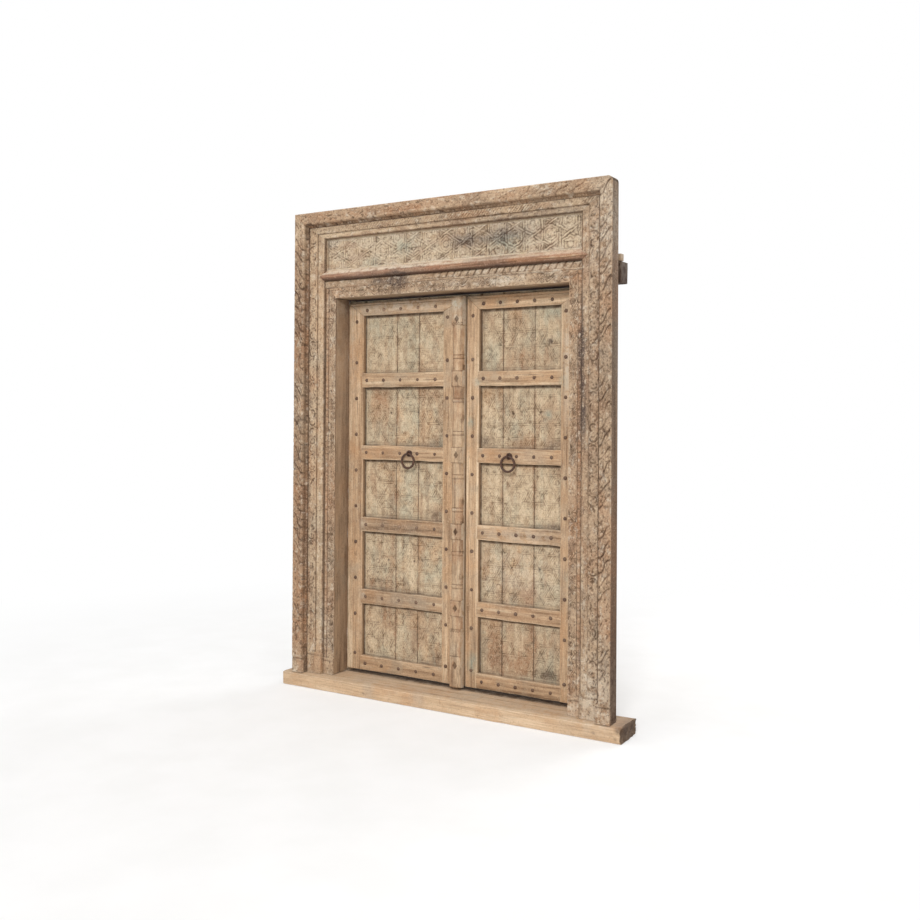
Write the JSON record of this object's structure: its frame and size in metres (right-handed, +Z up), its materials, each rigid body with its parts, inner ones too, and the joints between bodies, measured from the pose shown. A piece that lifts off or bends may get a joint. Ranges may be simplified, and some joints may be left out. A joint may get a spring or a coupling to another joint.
{
  "type": "carved temple door",
  "caption": "Double-leaf carved wooden door in a stepped, carved frame on a long sill, with leaves turning on wooden pivots, iron studs and ring pulls.",
  "frame": {"origin": "underside of the sill, at mid-width, below the front face of the outer band", "axes": "+X to the right seen from the front, -Y out of the front, +Z up"},
  "size_m": [1.848, 0.261, 2.39],
  "materials": {
    "bleached_wood": "bleached, open grain",
    "carved_wood": "carved, weathered",
    "panel_wood": "carved, washed, paint traces",
    "post_wood": "weathered, plain",
    "dark_wood": "dark, rough sawn",
    "iron": "forged, rusty brown"
  },
  "bodies": {
    "frame": {"sill": "bleached_wood", "door_post_left": "post_wood", "door_post_right": "post_wood", "door_head": "post_wood", "rear_lintel": "dark_wood", "lintel_cleat_left": "carved_wood", "lintel_cleat_right": "carved_wood", "transom_board": "panel_wood", "ledge": "carved_wood", "rope_moulding": "carved_wood", "outer_jamb_left": "carved_wood", "outer_jamb_right": "carved_wood", "outer_head": "carved_wood", "second_jamb_left": "carved_wood", "second_jamb_right": "carved_wood", "second_head": "carved_wood", "inner_band_left": "carved_wood", "inner_band_right": "carved_wood", "inner_band_head": "carved_wood"},
    "left_leaf": {"left_pivot_board": "panel_wood", "left_middle_board": "panel_wood", "left_meeting_board": "panel_wood", "left_outer_stile": "bleached_wood", "left_meeting_stile": "bleached_wood", "left_top_rail": "bleached_wood", "left_rail_1": "bleached_wood", "left_rail_2": "bleached_wood", "left_rail_3": "bleached_wood", "left_rail_4": "bleached_wood", "left_bottom_rail": "bleached_wood", "left_batten_1": "panel_wood", "left_batten_2": "panel_wood", "left_batten_3": "panel_wood", "left_studs": "iron", "left_ring_plate": "iron", "left_staple": "iron", "astragal": "bleached_wood"},
    "right_leaf": {"right_pivot_board": "panel_wood", "right_middle_board": "panel_wood", "right_meeting_board": "panel_wood", "right_outer_stile": "bleached_wood", "right_meeting_stile": "bleached_wood", "right_top_rail": "bleached_wood", "right_rail_1": "bleached_wood", "right_rail_2": "bleached_wood", "right_rail_3": "bleached_wood", "right_rail_4": "bleached_wood", "right_bottom_rail": "bleached_wood", "right_batten_1": "panel_wood", "right_batten_2": "panel_wood", "right_batten_3": "panel_wood", "right_studs": "iron", "right_ring_plate": "iron", "right_staple": "iron"},
    "left_ring": {"left_ring": "iron"},
    "right_ring": {"right_ring": "iron"}
  },
  "joints": [
    {"name": "left_leaf_swing", "type": "hinge", "parent": "frame", "child": "left_leaf", "pos_m": [-0.655, 0.216, 0], "axis": [0, 0, 1], "range_deg": [0, 100]},
    {"name": "right_leaf_swing", "type": "hinge", "parent": "frame", "child": "right_leaf", "pos_m": [0.655, 0.216, 0], "axis": [0, 0, -1], "range_deg": [0, 100]},
    {"name": "left_ring_lift", "type": "hinge", "parent": "left_leaf", "child": "left_ring", "pos_m": [-0.27213, 0.1593, 1.1821], "axis": [-1, 0, 0], "range_deg": [0, 160]},
    {"name": "right_ring_lift", "type": "hinge", "parent": "right_leaf", "child": "right_ring", "pos_m": [0.287, 0.1593, 1.1821], "axis": [-1, 0, 0], "range_deg": [0, 160]}
  ]
}
